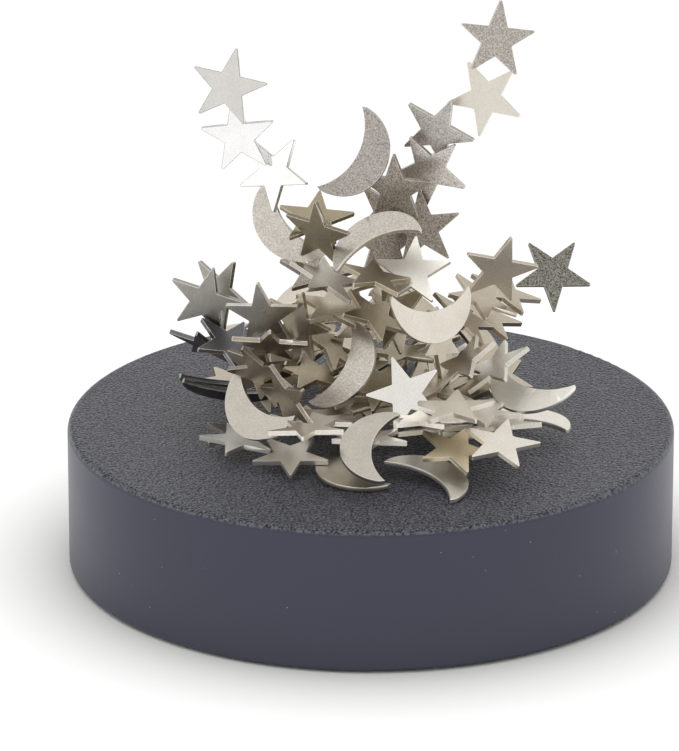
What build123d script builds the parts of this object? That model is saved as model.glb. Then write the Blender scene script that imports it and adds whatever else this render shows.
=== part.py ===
from build123d import *
import os
import math
import numpy as np

# Magnetic desk sculpture: a round black base with a magnet inside, and a heap of loose
# nickel-plated steel stars and crescent moons that the magnet holds in any arrangement.
# Millimetres, +Z up, origin at the middle of the underside of the foot pad.

os.makedirs("parts", exist_ok=True)

# ---------------------------------------------------------------- driving dimensions
base_diameter = 88.9        # three and a half inches
base_top = 21.5             # height of the deck the chips stand on
foot_pad_stand_off = 0.4    # the pad holds the shell this far off the desk
shell_wall = 2.4
shell_roof = 1.6
rim_radius = 1.0            # rounded edge between deck and side
skirt_radius = 0.5          # rounded lower edge of the side

magnet_diameter = 60.0
magnet_height = 8.0
magnet_chamfer = 0.6
keeper_height = 2.0         # mild steel plate that closes the field under the magnet
keeper_inset = 0.5          # the keeper is this much smaller than the magnet all round
seat_wall = 1.6             # ring inside the shell that centres the magnet
seat_clearance = 0.25
seat_lift = 0.3             # the ring stops this far above the retainer

cover_height = 1.8
cover_clearance = 0.15
cover_ledge = 1.2           # the cover rests against this step in the shell wall
cover_recess = 0.2          # the cover sits this far inside the shell's lower edge
spigot_wall = 1.6           # ring of the cover that plugs into the shell
spigot_height = 2.5
pad_height = 1.2
pad_inset = 4.0             # bare border of the cover round the pad
pad_clearance = 0.2
pad_edge_radius = 0.3

screw_count = 3
screw_circle = 36.0         # radius on which the retainer screws stand
boss_radius = 3.6
screw_shank_radius = 1.3
screw_head_radius = 2.6
screw_head_height = 1.8
screw_head_edge = 0.7       # rounding of the head
screw_length = 8.0
screw_point = 0.5           # chamfer at the end of the shank
thread_clearance = 0.1
recess_length = 3.0         # cross recess of the head
recess_width = 0.7
recess_depth = 1.0

retainer_height = 2.0
retainer_rim_width = 4.0
retainer_spoke_width = 7.0
retainer_hole_clearance = 0.3

chip_thickness = 0.7
star_radius = 5.7           # middle to tip
star_waist = 0.415          # radius of the inner corners over the tip radius
star_tip_flat = 0.28        # width of the blunt tip
star_arms = 5
moon_outer_radius = 6.9
moon_inner_radius = 9.0
moon_width = 4.6            # across the middle of the crescent
moon_tip_width = 1.2        # width of the blunt tip

chip_gap = 0.08             # clear space left between chips
deck_gap = 0.1              # clear space left over the deck

settle_slope = math.radians(21)     # placed chips move out and up along this slope until clear


# ---------------------------------------------------------------- chip outlines
def star_corners():
    """Corners of the star, with each tip cut to a short flat."""
    corners = []
    arm_angle = 2 * math.pi / star_arms
    for arm in range(star_arms):
        out_angle = math.pi / 2 + arm * arm_angle
        in_angle = out_angle + arm_angle / 2
        along = (math.cos(out_angle), math.sin(out_angle))
        across = (-along[1], along[0])
        for side in (-0.5, 0.5):
            shift = side * star_tip_flat
            corners.append((star_radius * along[0] + shift * across[0],
                            star_radius * along[1] + shift * across[1]))
        waist = star_waist * star_radius
        corners.append((waist * math.cos(in_angle), waist * math.sin(in_angle)))
    return corners


def moon_arcs():
    """Start, middle and end of the outer and the inner arc of the crescent.

    The belly points to +X and the tips to +Y and -Y. The outer arc is centred on the origin.
    """
    inner_middle = moon_outer_radius - moon_width
    inner_centre = inner_middle - moon_inner_radius
    # where the two full circles would meet
    meet_x = (moon_outer_radius ** 2 - moon_inner_radius ** 2 + inner_centre ** 2) / (2 * inner_centre)
    meet_angle = math.acos(meet_x / moon_outer_radius)
    outer_angle = meet_angle - 0.75 * moon_tip_width / moon_outer_radius
    outer_tip = (moon_outer_radius * math.cos(outer_angle), moon_outer_radius * math.sin(outer_angle))
    inner_angle = math.asin((outer_tip[1] - 0.2 * moon_tip_width) / moon_inner_radius)
    inner_tip = (inner_centre + moon_inner_radius * math.cos(inner_angle),
                 moon_inner_radius * math.sin(inner_angle))
    return outer_tip, inner_tip, inner_middle, inner_centre, outer_angle, inner_angle


def star_solid():
    outline = make_face(Polyline(*star_corners(), close=True))
    return extrude(Pos(0, 0, -chip_thickness / 2) * outline, chip_thickness)


def moon_solid():
    outer_tip, inner_tip, inner_middle = moon_arcs()[:3]
    lower_outer_tip = (outer_tip[0], -outer_tip[1])
    lower_inner_tip = (inner_tip[0], -inner_tip[1])
    outer = ThreePointArc(outer_tip, (moon_outer_radius, 0), lower_outer_tip)
    inner = ThreePointArc(lower_inner_tip, (inner_middle, 0), inner_tip)
    ends = [Line(lower_outer_tip, lower_inner_tip), Line(inner_tip, outer_tip)]
    outline = make_face([outer, inner, *ends])
    return extrude(Pos(0, 0, -chip_thickness / 2) * outline, chip_thickness)


# ---------------------------------------------------------------- room between chips
grid_step = 0.1
grid_half = 90              # cells each side of the middle, so +-9 mm
sample_step = 0.36
edge_sample_step = 0.22
outer_chords = 24
inner_chords = 16


def moon_corners():
    """The crescent as short chords, for measuring room only."""
    outer_tip, inner_tip, inner_middle, inner_centre, outer_angle, inner_angle = moon_arcs()
    outer = [(moon_outer_radius * math.cos(a), moon_outer_radius * math.sin(a))
             for a in np.linspace(-outer_angle, outer_angle, outer_chords + 1)]
    inner = [(inner_centre + moon_inner_radius * math.cos(a), moon_inner_radius * math.sin(a))
             for a in np.linspace(inner_angle, -inner_angle, inner_chords + 1)]
    return outer + inner


def distance_to_outline(points, corners):
    """Distance of plane points to a closed outline, negative inside."""
    corners = np.array(corners)
    following = np.roll(corners, -1, axis=0)
    nearest = np.full(len(points), np.inf)
    inside = np.zeros(len(points), bool)
    for start, end in zip(corners, following):
        side = end - start
        share = np.clip(((points - start) @ side) / (side @ side), 0, 1)
        nearest = np.minimum(nearest, np.linalg.norm(points - start - share[:, None] * side, axis=1))
        crosses = (start[1] > points[:, 1]) != (end[1] > points[:, 1])
        if side[1]:
            inside ^= crosses & (points[:, 0] < start[0] + (points[:, 1] - start[1]) * side[0] / side[1])
    return np.where(inside, -nearest, nearest)


def distance_grid(corners):
    cells = np.arange(-grid_half, grid_half + 1) * grid_step
    x, y = np.meshgrid(cells, cells, indexing="ij")
    flat = distance_to_outline(np.column_stack([x.ravel(), y.ravel()]), corners)
    return flat.reshape(x.shape)


def sample_points(corners, grid):
    """Points all over a chip's two faces and round its edge."""
    reach = moon_outer_radius + 2 * sample_step
    cells = np.arange(-reach, reach, sample_step)
    x, y = np.meshgrid(cells, cells, indexing="ij")
    plane = np.column_stack([x.ravel(), y.ravel()])
    index = np.rint(plane / grid_step).astype(int) + grid_half
    plane = plane[grid[index[:, 0], index[:, 1]] < 0]
    edge = []
    for start, end in zip(np.array(corners), np.roll(corners, -1, axis=0)):
        count = max(1, int(np.linalg.norm(end - start) / edge_sample_step))
        edge += [start + (end - start) * k / count for k in range(count)]
    half = chip_thickness / 2
    layers = [(plane, -half), (plane, half), (edge, -half), (edge, 0), (edge, half)]
    return np.vstack([np.column_stack([np.array(flat), np.full(len(flat), z)]) for flat, z in layers])


corners_of = {"star": star_corners(), "moon": moon_corners()}
grid_of = {kind: distance_grid(corners) for kind, corners in corners_of.items()}
samples_of = {kind: sample_points(corners_of[kind], grid_of[kind]) for kind in corners_of}
reach_of = {"star": star_radius, "moon": moon_outer_radius}


class Chip:
    """One loose chip: its kind, its middle, and its axes (right, up, out of the face) as rows."""

    def __init__(self, kind, middle, turn, lean, spin):
        self.kind = kind
        self.middle = np.array(middle, float)
        turn, lean, spin = (math.radians(angle) for angle in (turn, lean, spin))
        tilt = np.array([[1, 0, 0],
                         [0, math.cos(lean), math.sin(lean)],
                         [0, -math.sin(lean), math.cos(lean)]])
        swing = np.array([[math.cos(turn), -math.sin(turn), 0],
                          [math.sin(turn), math.cos(turn), 0],
                          [0, 0, 1]])
        attitude = swing @ tilt
        right, up, out = attitude @ [1, 0, 0], attitude @ [0, 0, 1], attitude @ [0, -1, 0]
        self.axes = np.array([math.cos(spin) * right + math.sin(spin) * up,
                              -math.sin(spin) * right + math.cos(spin) * up,
                              out])

    def surface(self):
        return self.middle + samples_of[self.kind] @ self.axes

    def room_from(self, points):
        """Least distance of some points to this chip, negative inside it."""
        local = (points - self.middle) @ self.axes.T
        cell = np.rint(local[:, :2] / grid_step).astype(int) + grid_half
        cell = np.clip(cell, 0, 2 * grid_half)
        plane = grid_of[self.kind][cell[:, 0], cell[:, 1]]
        return np.maximum(plane, np.abs(local[:, 2]) - chip_thickness / 2).min()

    def is_clear(self, others):
        surface = self.surface()
        if surface[:, 2].min() < base_top + deck_gap:
            return False
        for other in others:
            reach = reach_of[self.kind] + reach_of[other.kind] + chip_gap
            if np.linalg.norm(self.middle - other.middle) > reach:
                continue
            if other.room_from(surface) < chip_gap or self.room_from(other.surface()) < chip_gap:
                return False
        return True

    def solid(self):
        place = Plane(origin=tuple(self.middle), x_dir=tuple(self.axes[0]), z_dir=tuple(self.axes[2]))
        shape = star_solid() if self.kind == "star" else moon_solid()
        return Location(place) * shape


# ---------------------------------------------------------------- where the chips hang
# Each chip: kind, middle (x, y, z), attitude (turn, lean, spin) in degrees.
# turn swings the face about the upright axis, 0 looking to -Y; lean tips the face upward;
# spin rolls the chip in its own plane. Later chips lie in front of earlier ones.
left_tower = [
    ("moon", (-10.5, -1, 53.5), (-15, 5, 220)),
    ("star", (-14, -2.5, 60.5), (-30, 20, -25)),
    ("star", (-19, -1, 65.5), (-15, 0, 10)),
    ("star", (-20.5, 0, 72.5), (-10, 15, -10)),
]
right_tower = [
    ("star", (2.5, 4, 52), (-30, 10, -20)),
    ("star", (2, 2, 48), (15, 20, -5)),
    ("star", (16.5, 3.5, 70), (-15, 10, 30)),
    ("star", (18, 2.5, 79), (15, 15, -10)),
    ("star", (9.5, 3, 65), (-20, -5, -25)),
    ("star", (8.5, 2, 59.5), (-15, -5, 30)),
    ("star", (7.5, 0.5, 51), (0, 20, 5)),
    ("star", (3.5, -1, 57.5), (-15, -10, 0)),
    ("star", (6, -4.5, 46), (-15, 45, 5)),
]
crown = [
    ("star", (-8, 3.5, 43), (30, 70, -30)),
    ("star", (-8, -1, 53), (5, 65, -10)),
    ("star", (-7.5, -5, 52), (-35, -15, -5)),
    ("moon", (-4, 1, 63), (-15, 20, 335)),
    ("moon", (1, -5, 49.5), (-40, 55, 140)),
    ("star", (-6.5, -6, 45.5), (65, 65, 15)),
]
middle_slope = [
    ("star", (4.5, -4, 33.5), (-30, 90, -25)),
    ("moon", (8.5, -5, 42.5), (35, 20, 265)),
    ("star", (3.5, -6, 40.5), (-10, 35, 25)),
    ("star", (0.5, -8, 40.5), (60, 60, -10)),
    ("star", (0.5, -8, 46.5), (75, 75, 0)),
    ("star", (-5.5, -8, 42), (30, 75, -30)),
    ("star", (-6, -5, 35), (75, 45, -25)),
    ("star", (-10.5, -6, 38.5), (-35, -10, -15)),
    ("star", (-8.5, -6, 31), (30, 80, -15)),
    ("moon", (-5.5, -11, 34.5), (-35, 40, 355)),
    ("star", (1, -8, 30), (-20, 65, -25)),
    ("star", (5, -12, 30), (0, 30, 20)),
]
left_slope = [
    ("star", (-22, -2, 42), (-40, 5, -25)),
    ("star", (-24, -4, 41.5), (-15, -10, -15)),
    ("moon", (-21, -7.5, 30.5), (-10, -60, 265)),
    ("moon", (-20.5, -8.5, 30), (-10, -53, 262)),
    ("star", (-24, -4, 34.5), (-35, -50, -15)),
    ("star", (-20.5, -6, 35.5), (45, 60, 10)),
    ("star", (-16, -7, 31.5), (-30, -10, -10)),
    ("star", (-15.5, -8, 31.5), (-25, -30, 20)),
    ("star", (-14.5, -7, 35.5), (-5, -50, -5)),
    ("star", (-15.5, -9, 41), (-15, -15, 5)),
    ("star", (-12, -10, 28.5), (-50, -20, 15)),
    ("star", (-19, -12, 24), (-20, 85, 5)),
    ("star", (-19, -15, 24), (65, 85, 25)),
    ("moon", (-15, -15, 31), (-40, 35, 250)),
]
right_slope = [
    ("star", (17, 2, 37), (65, 65, 5)),
    ("star", (13.5, 1, 37), (70, 50, 10)),
    ("star", (19.5, 1, 41), (70, 70, -5)),
    ("star", (16, -3, 41.5), (65, 65, -20)),
    ("star", (26.5, 1, 44), (5, 35, 35)),
    ("star", (18.5, -2, 45.5), (10, -15, -15)),
    ("star", (10, -6, 36), (65, 10, 20)),
    ("moon", (22, -13, 25.5), (170, 90, 265)),
    ("moon", (24, -10, 32), (-35, 60, 265)),
    ("star", (9, -9, 30), (-5, 85, 15)),
    ("star", (14.5, -10, 27), (20, 85, 0)),
    ("star", (18, -11, 34), (-75, 55, -20)),
    ("star", (13.5, -12, 35), (-80, 50, -20)),
]
front_stack = [
    ("star", (7, -16, 27.5), (-10, 100, 10)),
    ("star", (12, -15, 29), (-35, 85, 30)),
    ("star", (16, -15, 28), (40, 95, 0)),
    ("star", (9, -17, 26.5), (20, 105, 25)),
    ("star", (15, -17, 25.5), (-10, 110, -10)),
    ("star", (19, -14, 26), (25, 100, 15)),
    ("star", (-7, -15, 27), (15, 100, 0)),
    ("star", (-4, -16, 25.5), (-25, 108, 20)),
    ("star", (-9, -16, 26), (20, 98, 10)),
    ("star", (0, -17, 25), (0, 95, 30)),
]
front_skirt = [
    ("star", (18.5, -15, 23.5), (20, 73, -30)),
    ("moon", (7, -22, 20.5), (30, 80, 15)),
    ("star", (12, -20, 24.5), (30, 73, 25)),
    ("moon", (-1, -22.5, 22.5), (0, 86, 210)),
    ("moon", (2.5, -18, 24), (-5, 65, 175)),
    ("star", (-11.5, -20, 23.5), (0, 80, -35)),
]
# zone name, its chips, and how far behind its written place a chip may settle
zones = [
    ("right_tower", right_tower, 0.0),
    ("left_tower", left_tower, 0.0),
    ("crown", crown, 0.0),
    ("right_slope", right_slope, 2.0),
    ("left_slope", left_slope, 2.0),
    ("middle_slope", middle_slope, 2.0),
    ("front_stack", front_stack, 2.0),
    ("front_skirt", front_skirt, 2.0),
]
settle_step = 0.1
settle_reach = 14.0
outward = np.array([0, -math.cos(settle_slope), math.sin(settle_slope)])


def settled(entry, deeper, placed):
    """A chip moved out along the settling slope until it is clear of those already placed."""
    kind, middle, attitude = entry
    chip = Chip(kind, middle, *attitude)
    start = chip.middle - deeper * outward
    for step in range(int((settle_reach + deeper) / settle_step)):
        chip.middle = start + step * settle_step * outward
        if chip.is_clear(placed):
            return chip
    raise ValueError(f"no room for {entry}")


placed = []
named = {}
for zone, entries, deeper in zones:
    counts = {"star": 0, "moon": 0}
    for entry in entries:
        chip = settled(entry, deeper, placed)
        counts[chip.kind] += 1
        placed.append(chip)
        named[f"{zone}_{chip.kind}_{counts[chip.kind]}"] = chip

# ---------------------------------------------------------------- chips drawn into the heap
heap_radius = 25.0
heap_height = 22.0
heap_swell = 1.6            # how full the outline of the heap is
heart_share = 0.8           # toward the front, the chips of the heart stay inside this share of the outline
heart_front = 8.0           # the front begins at this line behind the middle
moon_share = 0.3
tries = 10000
draw_step = 0.25
heart_limit = 90            # most chips drawn in


def inside_heap(middle):
    height = (middle[2] - base_top) / heap_height
    if not 0 < height < 1:
        return False
    reach = heap_radius * (1 - height ** heap_swell)
    if middle[1] < heart_front:
        reach *= heart_share
    return math.hypot(middle[0], middle[1]) < reach


def drawn_in(chip, others):
    """A chip pulled toward the magnet until it meets another chip or the deck."""
    pull = np.array([0, 0, base_top - magnet_height]) - chip.middle
    pull *= draw_step / np.linalg.norm(pull)
    while True:
        chip.middle = chip.middle + pull
        if not chip.is_clear(others):
            chip.middle = chip.middle - pull
            return chip


chance = np.random.default_rng(11)
heart = []
for _ in range(tries):
    kind = "moon" if chance.random() < moon_share else "star"
    lowest = [-heap_radius, -heap_radius, base_top]
    highest = [heap_radius, heap_radius, base_top + heap_height]
    middle = chance.uniform(lowest, highest)
    attitude = chance.uniform([-180, 0, 0], [180, 90, 360])
    if not inside_heap(middle) or len(heart) >= heart_limit:
        continue
    chip = Chip(kind, middle, *attitude)
    if chip.is_clear(placed):
        chip = drawn_in(chip, placed)
        placed.append(chip)
        heart.append(chip)
print(len(named), "placed chips,", len(heart), "drawn in")


# ---------------------------------------------------------------- the base
shell_radius = base_diameter / 2
shell_inner_radius = shell_radius - shell_wall
roof_underside = base_top - shell_roof
magnet_radius = magnet_diameter / 2
magnet_bottom = roof_underside - magnet_height
keeper_bottom = magnet_bottom - keeper_height
retainer_bottom = keeper_bottom - retainer_height
cover_radius = shell_inner_radius + cover_ledge - cover_clearance
cover_bottom = foot_pad_stand_off + cover_recess
cover_top = cover_bottom + cover_height
screw_angles = [360 / screw_count * k + 90 for k in range(screw_count)]
screw_places = [Rot(0, 0, angle) * Pos(screw_circle, 0, 0) for angle in screw_angles]


def disc(radius, bottom, height):
    return Pos(0, 0, bottom) * Cylinder(radius, height, align=(Align.CENTER, Align.CENTER, Align.MIN))


def ring(outer, inner, bottom, height):
    return disc(outer, bottom, height) - disc(inner, bottom, height)


def at_screws(shape):
    return [place * shape for place in screw_places]


def base_shell():
    """Moulded cup, open downward, with the magnet seat and three screw bosses under its roof."""
    outer = disc(shell_radius, foot_pad_stand_off, base_top - foot_pad_stand_off)
    outer = fillet(outer.edges().filter_by(GeomType.CIRCLE).sort_by(Axis.Z)[-1], rim_radius)
    outer = fillet(outer.edges().filter_by(GeomType.CIRCLE).sort_by(Axis.Z)[0], skirt_radius)
    shell = outer - disc(shell_inner_radius, foot_pad_stand_off, roof_underside - foot_pad_stand_off)
    shell -= disc(shell_inner_radius + cover_ledge, foot_pad_stand_off, cover_top - foot_pad_stand_off)
    seat_inner = magnet_radius + seat_clearance
    seat_bottom = keeper_bottom + seat_lift
    shell += ring(seat_inner + seat_wall, seat_inner, seat_bottom, roof_underside - seat_bottom)
    boss = disc(boss_radius, keeper_bottom, roof_underside - keeper_bottom)
    pilot = disc(screw_shank_radius + thread_clearance, keeper_bottom, screw_length)
    for post in at_screws(boss):
        shell += post
    for hole in at_screws(pilot):
        shell -= hole
    return shell - disc(seat_inner, keeper_bottom, roof_underside - keeper_bottom)


def magnet():
    body = disc(magnet_radius, magnet_bottom, magnet_height)
    return chamfer(body.edges().filter_by(GeomType.CIRCLE), magnet_chamfer)


def keeper_plate():
    return disc(magnet_radius - keeper_inset, keeper_bottom, keeper_height)


def magnet_retainer():
    """Spoked plate that holds keeper and magnet up against the roof."""
    rim_outer = magnet_radius + seat_clearance + seat_wall
    plate = ring(rim_outer, rim_outer - retainer_rim_width, retainer_bottom, retainer_height)
    spoke = Pos(-screw_circle / 2, 0, retainer_bottom + retainer_height / 2) * Box(
        screw_circle, retainer_spoke_width, retainer_height)
    lug = disc(boss_radius, retainer_bottom, retainer_height)
    for arm in at_screws(spoke) + at_screws(lug):
        plate += arm
    hole = disc(screw_shank_radius + retainer_hole_clearance, retainer_bottom, retainer_height)
    for cut in at_screws(hole):
        plate -= cut
    return plate


def retainer_screw():
    head_bottom = retainer_bottom - screw_head_height
    head = disc(screw_head_radius, head_bottom, screw_head_height)
    head = fillet(head.edges().filter_by(GeomType.CIRCLE).sort_by(Axis.Z)[0], screw_head_edge)
    shank = disc(screw_shank_radius, retainer_bottom, screw_length)
    shank = chamfer(shank.edges().filter_by(GeomType.CIRCLE).sort_by(Axis.Z)[-1], screw_point)
    slot = Pos(0, 0, head_bottom + recess_depth / 2) * Box(recess_length, recess_width, recess_depth)
    return head + shank - slot - Rot(0, 0, 90) * slot


def bottom_cover():
    """Snap-in disc under the shell, dished for the foot pad, with a spigot inside the wall."""
    plate = disc(cover_radius, cover_bottom, cover_height)
    spigot_outer = shell_inner_radius - cover_clearance
    plate += ring(spigot_outer, spigot_outer - spigot_wall, cover_top, spigot_height)
    return plate - disc(cover_radius - pad_inset, cover_bottom, pad_height - cover_bottom)


def foot_pad():
    pad = disc(cover_radius - pad_inset - pad_clearance, 0, pad_height)
    return fillet(pad.edges().filter_by(GeomType.CIRCLE).sort_by(Axis.Z)[0], pad_edge_radius)


# ---------------------------------------------------------------- writing the pieces
# chips that others nearly cover share a node, each still a solid of its own
covered = {
    "upper_covered_chips": ["right_tower_star_1", "right_tower_star_2", "crown_star_1"],
    "left_covered_chips": [f"left_slope_star_{number}" for number in (5, 6, 7, 9)],
    "middle_covered_chips": [f"middle_slope_star_{number}" for number in (1, 2, 6, 8, 9)],
    "right_covered_chips": [f"right_slope_star_{number}" for number in (1, 2, 3, 4, 7, 8, 9)],
    "front_stack_chips": ["left_slope_star_10"] + [name for name in named if "front_stack" in name],
}
far_side_kept = 3           # chips of the far side that get a node of their own
far_side_height = 3.0       # least height over the deck for those


def outwardness(chip):
    """How near a chip of the heap lies to its surface: about 1 for the outermost."""
    height = (chip.middle[2] - base_top) / heap_height
    return math.hypot(chip.middle[0], chip.middle[1]) / heap_radius + max(height, 0)


def write_chips(chips, node):
    export_step(Compound(children=[chip.solid() for chip in chips]), f"parts/{node}.step")


def write_piece(shape, node):
    export_step(shape, f"parts/{node}.step")


write_piece(base_shell(), "base_shell")
write_piece(magnet(), "magnet")
write_piece(keeper_plate(), "keeper_plate")
write_piece(magnet_retainer(), "magnet_retainer")
write_piece(Compound(children=at_screws(retainer_screw())), "retainer_screws")
write_piece(bottom_cover(), "bottom_cover")
write_piece(foot_pad(), "foot_pad")

for node, names in covered.items():
    write_chips([named.pop(name) for name in names], node)
for name, chip in named.items():
    write_piece(chip.solid(), name)

far_side = [chip for chip in heart if chip.middle[1] > 0 and chip.middle[2] > base_top + far_side_height]
far_side = sorted(far_side, key=outwardness)[-far_side_kept:]
for number, chip in enumerate(far_side, 1):
    write_piece(chip.solid(), f"far_side_{chip.kind}_{number}")
write_chips([chip for chip in heart if chip not in far_side], "heap_core_chips")
print(len(named) + len(far_side), "single chips,", sum(map(len, covered.values())), "covered chips")
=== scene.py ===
import math

import bpy
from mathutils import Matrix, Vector

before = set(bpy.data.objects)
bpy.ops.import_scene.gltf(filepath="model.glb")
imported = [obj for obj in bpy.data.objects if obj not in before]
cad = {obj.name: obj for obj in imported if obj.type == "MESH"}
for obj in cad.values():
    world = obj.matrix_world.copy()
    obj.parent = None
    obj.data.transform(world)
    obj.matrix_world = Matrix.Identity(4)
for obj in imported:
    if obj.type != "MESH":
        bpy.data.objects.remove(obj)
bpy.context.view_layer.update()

mm = 0.001
print("frame loaded:", len(cad), "nodes")


# helpers for shader trees, used in materials and groups alike
def makeMaterial(name):
    material = bpy.data.materials.new(name)
    material.use_nodes = True
    tree = material.node_tree
    return material, tree, tree.nodes["Principled BSDF"]


def addNode(tree, kind, **settings):
    node = tree.nodes.new("ShaderNode" + kind)
    for key, value in settings.items():
        setattr(node, key, value)
    return node


def feed(tree, socket, value):  # a link when given a socket, a plain value otherwise
    if isinstance(value, bpy.types.NodeSocket):
        tree.links.new(value, socket)
    else:
        socket.default_value = value


def calc(tree, operation, first, second):
    node = addNode(tree, "Math", operation=operation)
    feed(tree, node.inputs[0], first)
    feed(tree, node.inputs[1], second)
    return node.outputs[0]


def solid(colour):  # red, green and blue made into an opaque colour
    return tuple(colour) + (1,)


def mixColour(tree, share, first, second, mode="MIX"):
    node = addNode(tree, "Mix", data_type="RGBA", blend_type=mode)
    feed(tree, node.inputs[0], share)
    feed(tree, node.inputs[6], first)
    feed(tree, node.inputs[7], second)
    return node.outputs[2]


def mixValue(tree, share, first, second):
    node = addNode(tree, "Mix", data_type="FLOAT")
    feed(tree, node.inputs[0], share)
    feed(tree, node.inputs[2], first)
    feed(tree, node.inputs[3], second)
    return node.outputs[0]


def redPart(tree, colour):
    node = addNode(tree, "SeparateColor")
    feed(tree, node.inputs[0], colour)
    return node.outputs[0]


def spread(tree, value, low, high, toLow=0.0, toHigh=1.0):  # one range onto another, clamped
    node = addNode(tree, "MapRange")
    feed(tree, node.inputs[0], value)
    for index, bound in enumerate((low, high, toLow, toHigh), 1):
        feed(tree, node.inputs[index], bound)
    return node.outputs[0]


def noise(tree, place, size, detail=2.0, rough=0.5):  # size of the grain in millimetres
    node = addNode(tree, "TexNoise")
    feed(tree, node.inputs["Vector"], place)
    node.inputs["Scale"].default_value = 1 / (size * mm)
    node.inputs["Detail"].default_value = detail
    node.inputs["Roughness"].default_value = rough
    return node.outputs["Fac"]


def cells(tree, place, size, feature="F1", output="Distance"):
    node = addNode(tree, "TexVoronoi", feature=feature)
    feed(tree, node.inputs["Vector"], place)
    node.inputs["Scale"].default_value = 1 / (size * mm)
    return node.outputs[output]


def objectPlace(tree):
    return addNode(tree, "TexCoord").outputs["Object"]


def bump(tree, height, strength, distance):  # distance in millimetres
    node = addNode(tree, "Bump")
    node.inputs["Strength"].default_value = strength
    node.inputs["Distance"].default_value = distance * mm
    feed(tree, node.inputs["Height"], height)
    return node.outputs["Normal"]


def newGroup(name, inputs, outputs):
    group = bpy.data.node_groups.new(name, "ShaderNodeTree")
    for label, kind, value in inputs:
        socket = group.interface.new_socket(label, in_out="INPUT", socket_type="NodeSocket" + kind)
        if value is not None:
            socket.default_value = value
    for label, kind in outputs:
        group.interface.new_socket(label, in_out="OUTPUT", socket_type="NodeSocket" + kind)
    return group, group.nodes.new("NodeGroupInput"), group.nodes.new("NodeGroupOutput")


def useGroup(tree, group, **values):
    node = tree.nodes.new("ShaderNodeGroup")
    node.node_tree = group
    for label, value in values.items():
        feed(tree, node.inputs[label], value)
    return node.outputs


def dress(node, material):
    piece = cad[node]
    piece.data.materials.clear()
    piece.data.materials.append(material)
    return piece


# effects that several finishes share, sizes in millimetres
grainLook = {"fine": 0.12, "medium": 0.25, "cloud": 3.2}


def buildBlastedGrain():  # matt speckle of bead-blasted and plated steel
    group, given, made = newGroup("blastedGrain", [("Place", "Vector", None)],
                                  [("Height", "Float"), ("Fleck", "Float"), ("Cloud", "Float")])
    place = given.outputs["Place"]
    fine = noise(group, place, grainLook["fine"], 2.0, 0.6)
    medium = noise(group, place, grainLook["medium"], 2.0, 0.65)
    height = calc(group, "ADD", calc(group, "MULTIPLY", fine, 0.5), medium)
    feed(group, made.inputs["Height"], height)
    mixed = calc(group, "ADD", calc(group, "MULTIPLY", fine, 0.45),
                 calc(group, "MULTIPLY", medium, 0.55))
    feed(group, made.inputs["Fleck"], spread(group, mixed, 0.41, 0.59))
    cloud = noise(group, place, grainLook["cloud"], 3.0)
    feed(group, made.inputs["Cloud"], spread(group, cloud, 0.3, 0.7))
    return group


rubAndSheenLook = {"raggedSize": 0.5, "starts": 0.02, "full": 0.14}


def buildEdgeRubAndSheen():  # 1 along the rounded edges, where plating is worn by rubbing and where a highlight is painted along the edge
    group, given, made = newGroup("edgeRubAndSheen",
                                  [("Place", "Vector", None), ("Reach", "Float", 0.1 * mm)],
                                  [("Mask", "Float")])
    rounded = addNode(group, "Bevel", samples=4)
    feed(group, rounded.inputs["Radius"], given.outputs["Reach"])
    trueNormal = addNode(group, "NewGeometry").outputs["True Normal"]
    agree = addNode(group, "VectorMath", operation="DOT_PRODUCT")
    feed(group, agree.inputs[0], rounded.outputs["Normal"])
    feed(group, agree.inputs[1], trueNormal)
    ragged = noise(group, given.outputs["Place"], rubAndSheenLook["raggedSize"])
    turned = calc(group, "SUBTRACT", 1.0, agree.outputs["Value"])
    turned = calc(group, "MULTIPLY", turned, calc(group, "ADD", ragged, 0.6))
    feed(group, made.inputs["Mask"], spread(group, turned, rubAndSheenLook["starts"], rubAndSheenLook["full"]))
    return group


dustSpacing = 0.9


def buildDust():  # sparse pale specks
    group, given, made = newGroup("dust", [("Place", "Vector", None), ("Amount", "Float", 0.3)],
                                  [("Mask", "Float")])
    spot = cells(group, given.outputs["Place"], dustSpacing)
    pick = cells(group, given.outputs["Place"], dustSpacing, output="Color")
    chosen = calc(group, "LESS_THAN", redPart(group, pick), given.outputs["Amount"])
    small = spread(group, spot, 0.05, 0.12, 1.0, 0.0)
    feed(group, made.inputs["Mask"], calc(group, "MULTIPLY", chosen, small))
    return group


blastedGrain = buildBlastedGrain()
edgeRubAndSheen = buildEdgeRubAndSheen()
dust = buildDust()
print("shared effects made")
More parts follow.
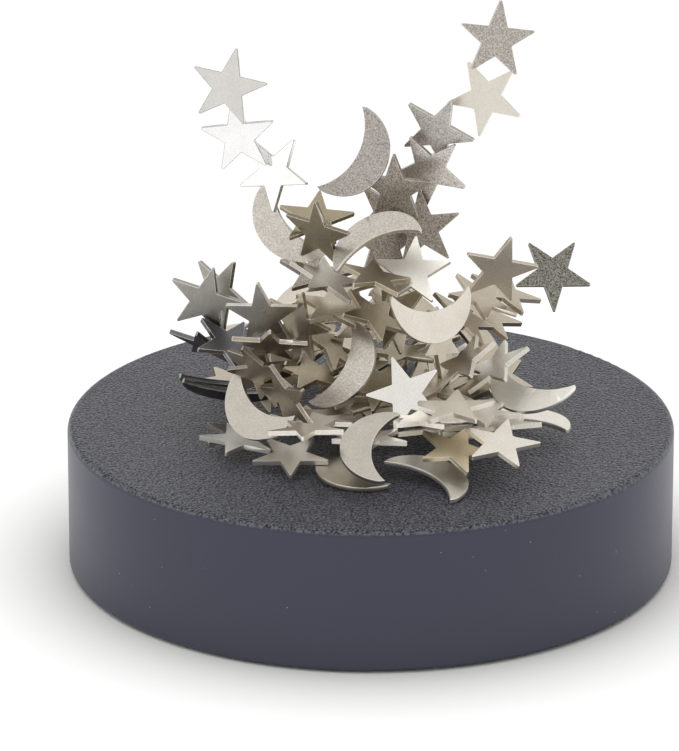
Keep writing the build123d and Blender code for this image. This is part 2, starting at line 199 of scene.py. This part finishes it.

# loose chips: nickel plate on stamped steel
# each tone's colour is set lighter or darker to paint in the light and shade its chips reflect:
# painted light and shade, beside real differences in grain and roughness
plating = {
    # tone: colour, speckle of the grain, roughness, depth of the grain in mm, colour painted along
    # the edge (a painted highlight, and a painted dark edge line for polished)
    "polished": ((0.98, 0.975, 0.97), 0.07, 0.22, 0.003, (0.10, 0.10, 0.10)),
    "bright": ((0.98, 0.96, 0.925), 0.05, 0.26, 0.003, (0.98, 0.97, 0.95)),
    "pale": ((0.97, 0.945, 0.89), 0.07, 0.42, 0.003, (0.99, 0.98, 0.95)),
    "cream": ((0.88, 0.84, 0.765), 0.08, 0.34, 0.003, (0.99, 0.98, 0.95)),
    "pearl": ((0.66, 0.625, 0.565), 0.13, 0.32, 0.005, (0.99, 0.97, 0.93)),
    "satin": ((0.74, 0.69, 0.605), 0.12, 0.30, 0.004, (0.97, 0.95, 0.90)),
    "nickel": ((0.58, 0.545, 0.49), 0.12, 0.30, 0.004, (0.97, 0.95, 0.90)),
    "frosted": ((0.68, 0.64, 0.585), 0.26, 0.33, 0.008, (0.97, 0.95, 0.91)),
    "blasted": ((0.74, 0.70, 0.66), 0.42, 0.36, 0.011, (0.90, 0.88, 0.85)),
    "greyBlasted": ((0.56, 0.53, 0.50), 0.42, 0.36, 0.011, (0.90, 0.88, 0.85)),
    "darkBlasted": ((0.44, 0.395, 0.35), 0.55, 0.38, 0.014, (0.80, 0.77, 0.73)),
    "gritty": ((0.28, 0.27, 0.24), 0.75, 0.40, 0.016, (0.75, 0.73, 0.68)),
    "gold": ((0.86, 0.765, 0.57), 0.10, 0.36, 0.004, (0.98, 0.95, 0.86)),
    "taupe": ((0.60, 0.535, 0.44), 0.12, 0.30, 0.004, (0.97, 0.94, 0.88)),
    "olive": ((0.42, 0.365, 0.265), 0.14, 0.30, 0.004, (0.97, 0.94, 0.86)),
    "darkOlive": ((0.24, 0.205, 0.145), 0.14, 0.30, 0.004, (0.90, 0.86, 0.76)),
    "steel": ((0.74, 0.72, 0.66), 0.12, 0.30, 0.004, (0.96, 0.95, 0.92)),
    "pewter": ((0.39, 0.38, 0.345), 0.12, 0.30, 0.004, (0.96, 0.95, 0.92)),
    "umber": ((0.36, 0.31, 0.25), 0.14, 0.30, 0.004, (0.97, 0.94, 0.88)),
    "slate": ((0.17, 0.17, 0.185), 0.14, 0.32, 0.004, (0.99, 0.94, 0.84)),
}


platingWearAndSheen = {
    "edgeReach": 0.19, "edgeSmoothing": 0.12,  # reach in millimetres
    "tarnish": (0.62, 0.55, 0.44), "tarnishShare": 0.16,
}


def makePlating(tone):
    colour, speckle, roughness, depth, paintedEdgeTone = plating[tone]
    material, tree, shader = makeMaterial("nickel_" + tone)
    place = objectPlace(tree)
    grain = useGroup(tree, blastedGrain, Place=place)
    rubAndSheen = useGroup(tree, edgeRubAndSheen, Place=place, Reach=platingWearAndSheen["edgeReach"] * mm)["Mask"]
    dark = solid(c * (1 - speckle) for c in colour)
    bright = solid(min(1.0, c * (1 + 0.55 * speckle)) for c in colour)
    face = mixColour(tree, grain["Fleck"], dark, bright)
    tarnish = calc(tree, "MULTIPLY", grain["Cloud"], platingWearAndSheen["tarnishShare"])
    clouded = mixColour(tree, tarnish, face, solid(platingWearAndSheen["tarnish"]), "MULTIPLY")
    # the edge colour mixed in along the rounded edges is a painted edge highlight (a painted dark
    # edge line on polished chips), together with plating worn by rubbing
    feed(tree, shader.inputs["Base Color"], mixColour(tree, rubAndSheen, clouded, solid(paintedEdgeTone)))
    wear = calc(tree, "MULTIPLY", grain["Cloud"], 0.08)
    matt = calc(tree, "ADD", wear, roughness - 0.04)
    smoothed = calc(tree, "MULTIPLY", rubAndSheen, platingWearAndSheen["edgeSmoothing"])
    feed(tree, shader.inputs["Roughness"], calc(tree, "SUBTRACT", matt, smoothed))
    shader.inputs["Metallic"].default_value = 1.0
    feed(tree, shader.inputs["Normal"], bump(tree, grain["Height"], 0.6, depth))
    return material


platingOf = {tone: makePlating(tone) for tone in plating}

chipEdges = {"bevel": 0.07, "segments": 2, "sharperThan": 35, "weld": 0.001}  # mm and degrees
# tones are given chip by chip: a chip gets a lighter tone for painted light and a darker tone for
# painted shade
chipsOfTone = {
    "polished": ["left_tower_star_1", "left_tower_star_2", "left_tower_star_3"],
    "bright": ["middle_slope_star_10"],
    "pale": ["right_tower_star_9", "front_skirt_star_3", "right_slope_moon_1",
             "right_slope_moon_2", "front_skirt_moon_1", "left_slope_star_11"],
    "cream": ["right_tower_star_3", "middle_slope_moon_1", "front_skirt_star_1",
              "front_stack_chips"],
    "pearl": ["left_slope_moon_3"],
    "nickel": ["front_skirt_moon_3", "crown_star_4"],
    "frosted": ["left_tower_moon_1", "crown_moon_2", "middle_slope_moon_2"],
    "blasted": ["right_tower_star_4", "right_tower_star_6"],
    "greyBlasted": ["right_tower_star_5", "crown_moon_1"],
    "darkBlasted": ["right_tower_star_7", "right_tower_star_8", "upper_covered_chips"],
    "gritty": ["right_slope_star_5"],
    "gold": ["front_skirt_star_2"],
    "taupe": ["right_slope_star_6", "middle_slope_star_7", "middle_slope_star_5",
              "right_covered_chips", "heap_core_chips"],
    "olive": ["crown_star_2", "middle_slope_star_4", "middle_slope_star_3",
              "middle_covered_chips"],
    "darkOlive": ["crown_star_3"],
    "steel": ["left_slope_star_8", "right_slope_star_10"],
    "pewter": ["left_slope_star_1", "left_slope_star_2"],
    "umber": ["left_covered_chips"],
    "slate": ["left_slope_star_3", "left_slope_star_4", "left_slope_moon_1",
              "left_slope_moon_2"],
}  # chips not named here are satin
toneOfChip = {name: tone for tone, names in chipsOfTone.items() for name in names}


def finishChip(node, tone):
    piece = dress(node, platingOf[tone])
    weld = piece.modifiers.new("weld", "WELD")
    weld.merge_threshold = chipEdges["weld"] * mm
    bevel = piece.modifiers.new("rolledEdge", "BEVEL")
    bevel.width = chipEdges["bevel"] * mm
    bevel.segments = chipEdges["segments"]
    bevel.limit_method = "ANGLE"
    bevel.angle_limit = math.radians(chipEdges["sharperThan"])
    bevel.harden_normals = True


chipNodes = [name for name in cad
             if "_star_" in name or "_moon_" in name or name.endswith("_chips")]
for name in chipNodes:
    finishChip(name, toneOfChip.get(name, "satin"))
print(len(chipNodes), "chip nodes plated")

# base shell: pebbled deck, satin side
shellLook = {
    "deckDark": (0.010, 0.011, 0.018), "deckPale": (0.160, 0.166, 0.200),
    "sideColour": (0.054, 0.055, 0.084), "rimHighlightTone": (0.15, 0.155, 0.18),
    "speckColour": (0.35, 0.35, 0.36), "speckAmount": 0.04,
    "pebbleSize": 0.42, "pebbleDepth": 0.36,
    "deckRoughness": 0.31, "sideRoughness": 0.36, "shine": 0.25,
}


def makeShellPlastic():
    material, tree, shader = makeMaterial("pebbledPlastic")
    place = objectPlace(tree)
    upward = addNode(tree, "SeparateXYZ")
    feed(tree, upward.inputs[0], addNode(tree, "NewGeometry").outputs["Normal"])
    deck = spread(tree, upward.outputs[2], 0.35, 0.8)
    pebbles = cells(tree, place, shellLook["pebbleSize"], "SMOOTH_F1")
    lumps = noise(tree, place, 0.5, 2.0)
    fine = noise(tree, place, 0.16, 2.0)
    grain = calc(tree, "ADD", calc(tree, "MULTIPLY", pebbles, -1.0),
                 calc(tree, "MULTIPLY", lumps, 0.7))
    grain = calc(tree, "ADD", grain, calc(tree, "MULTIPLY", fine, 0.3))
    sideGrain = calc(tree, "MULTIPLY", noise(tree, place, 0.25, 2.0), 0.10)
    height = mixValue(tree, deck, sideGrain, grain)
    # the tops of the pebbles catch the light
    crests = spread(tree, noise(tree, place, 0.32, 2.0), 0.42, 0.62)
    deckTone = mixColour(tree, crests, solid(shellLook["deckDark"]), solid(shellLook["deckPale"]))
    tone = mixColour(tree, deck, solid(shellLook["sideColour"]), deckTone)
    rim = calc(tree, "MULTIPLY", spread(tree, upward.outputs[2], 0.35, 0.6),
               spread(tree, upward.outputs[2], 0.65, 0.9, 1.0, 0.0))  # painted highlight along the rounded rim
    rimHighlight = calc(tree, "MULTIPLY", rim, spread(tree, noise(tree, place, 0.7), 0.45, 0.6))
    tone = mixColour(tree, rimHighlight, tone, solid(shellLook["rimHighlightTone"]))
    specks = useGroup(tree, dust, Place=place, Amount=shellLook["speckAmount"])["Mask"]
    tone = mixColour(tree, specks, tone, solid(shellLook["speckColour"]))
    feed(tree, shader.inputs["Base Color"], tone)
    smear = calc(tree, "MULTIPLY", noise(tree, place, 14.0, 3.0), 0.08)
    matt = spread(tree, deck, 0.0, 1.0,
                  shellLook["sideRoughness"] - 0.04, shellLook["deckRoughness"] - 0.04)
    feed(tree, shader.inputs["Roughness"], calc(tree, "ADD", matt, smear))
    feed(tree, shader.inputs["Normal"], bump(tree, height, 0.9, shellLook["pebbleDepth"]))
    shader.inputs["Specular IOR Level"].default_value = shellLook["shine"]
    return material


dress("base_shell", makeShellPlastic())


# pieces inside and under the base
innerLook = {
    # node: finish, colour, roughness, metallic, size and depth of the grain in mm
    "magnet": ("groundFerrite", (0.09, 0.09, 0.095), 0.5, 0.4, 0.5, 0.02),
    "keeper_plate": ("zincPlate", (0.6, 0.6, 0.62), 0.35, 1.0, 1.2, 0.01),
    "magnet_retainer": ("retainerPlastic", (0.10, 0.10, 0.11), 0.5, 0.0, 0.4, 0.02),
    "retainer_screws": ("screwZinc", (0.66, 0.66, 0.68), 0.3, 1.0, 0.5, 0.005),
    "bottom_cover": ("coverPlastic", (0.035, 0.036, 0.04), 0.5, 0.0, 0.5, 0.03),
    "foot_pad": ("pressedFelt", (0.022, 0.022, 0.024), 0.95, 0.0, 0.25, 0.12),
}


def makePlainFinish(name, colour, roughness, metallic, size, depth):
    material, tree, shader = makeMaterial(name)
    grain = noise(tree, objectPlace(tree), size, 3.0)
    dim = solid(c * 0.75 for c in colour)
    feed(tree, shader.inputs["Base Color"], mixColour(tree, grain, dim, solid(colour)))
    matt = spread(tree, grain, 0.3, 0.7, roughness - 0.06, roughness + 0.06)
    feed(tree, shader.inputs["Roughness"], matt)
    shader.inputs["Metallic"].default_value = metallic
    feed(tree, shader.inputs["Normal"], bump(tree, grain, 0.5, depth))
    return material


for name, look in innerLook.items():
    dress(name, makePlainFinish(*look))
print("base dressed")

# floor, light and camera
floorLook = {"half": 1.2, "tone": 0.88, "shadeStarts": 0.0445, "shadeEnds": 0.062}  # metres


def makeFloor():
    bpy.ops.mesh.primitive_plane_add(size=2 * floorLook["half"], location=(0, 0, 0))
    floor = bpy.context.object
    floor.name = "studio_floor"
    material, tree, shader = makeMaterial("paleFloor")
    place = objectPlace(tree)
    tone = floorLook["tone"]
    cloud = noise(tree, place, 120.0)
    sheet = mixColour(tree, cloud, solid((tone,) * 3), solid((tone + 0.02,) * 3))
    shader.inputs["Roughness"].default_value = 0.7
    # the sheet burns out to white beyond the shadow
    reach = addNode(tree, "VectorMath", operation="LENGTH")
    feed(tree, reach.inputs[0], place)
    burn = spread(tree, reach.outputs["Value"], floorLook["shadeStarts"], floorLook["shadeEnds"])
    feed(tree, shader.inputs["Base Color"], mixColour(tree, burn, sheet, (0, 0, 0, 1)))
    feed(tree, shader.inputs["Emission Color"], mixColour(tree, burn, (0, 0, 0, 1), (1, 1, 1, 1)))
    shader.inputs["Emission Strength"].default_value = 1.0
    floor.data.materials.append(material)


heapMiddle = (0, 0, 0.035)
softboxes = {
    # name: place and size in metres, power in watts
    "topBox": ((-0.15, -0.25, 0.90), (0.70, 0.50), 0.5),
    "leftStrip": ((-0.62, -0.34, 0.22), (0.14, 0.5), 0.10),
    "rightStrip": ((0.66, -0.10, 0.22), (0.14, 0.5), 0.10),
}


def aimed(place, target):  # turned so that its front faces the target
    return (Vector(target) - Vector(place)).to_track_quat("-Z", "Y").to_euler()


def addSoftbox(name, place, size, power):
    data = bpy.data.lights.new(name, "AREA")
    data.shape = "RECTANGLE"
    data.size, data.size_y = size
    data.energy = power
    lamp = bpy.data.objects.new(name, data)
    lamp.location = place
    lamp.rotation_euler = aimed(place, heapMiddle)
    bpy.context.collection.objects.link(lamp)


domeLook = {
    "low": (0.78, 0.765, 0.73), "high": (0.96, 0.955, 0.94), "darkFront": (0.44, 0.42, 0.39),
}


def makeWorld():
    world = bpy.data.worlds.new("studioDome")
    world.use_nodes = True
    tree = world.node_tree
    background = tree.nodes["Background"]
    parts = addNode(tree, "SeparateXYZ")
    feed(tree, parts.inputs[0], addNode(tree, "TexCoord").outputs["Generated"])
    across, along, up = parts.outputs
    dome = mixColour(tree, spread(tree, up, 0.0, 0.95),
                     solid(domeLook["low"]), solid(domeLook["high"]))
    front = spread(tree, along, -1.0, -0.45, 1.0, 0.0)
    front = calc(tree, "MULTIPLY", front, spread(tree, up, 0.3, 0.8, 1.0, 0.0))
    front = calc(tree, "MULTIPLY", front, spread(tree, across, -0.45, -0.1))
    shaded = mixColour(tree, front, dome, solid(domeLook["darkFront"]))
    seen = addNode(tree, "LightPath").outputs["Is Camera Ray"]
    feed(tree, background.inputs["Color"], mixColour(tree, seen, shaded, (1, 1, 1, 1)))
    background.inputs["Strength"].default_value = 1.0
    bpy.context.scene.world = world


cameraLook = {  # places in millimetres
    "place": (0.0, -826.2, 333.4), "target": (-4.58, 0.0, 28.47), "lens": 288.7, "sensor": 36.0,
}


def addCamera():
    data = bpy.data.cameras.new("productCamera")
    data.lens = cameraLook["lens"]
    data.sensor_width = cameraLook["sensor"]
    data.clip_start = 0.05
    data.clip_end = 20.0
    camera = bpy.data.objects.new("productCamera", data)
    camera.location = Vector(cameraLook["place"]) * mm
    camera.rotation_euler = aimed(cameraLook["place"], cameraLook["target"])
    bpy.context.collection.objects.link(camera)
    bpy.context.scene.camera = camera


makeFloor()
makeWorld()
for name, (place, size, power) in softboxes.items():
    addSoftbox(name, place, size, power)
addCamera()
bpy.context.scene.view_settings.view_transform = "Standard"
print("floor, light and camera placed")

bpy.context.view_layer.update()
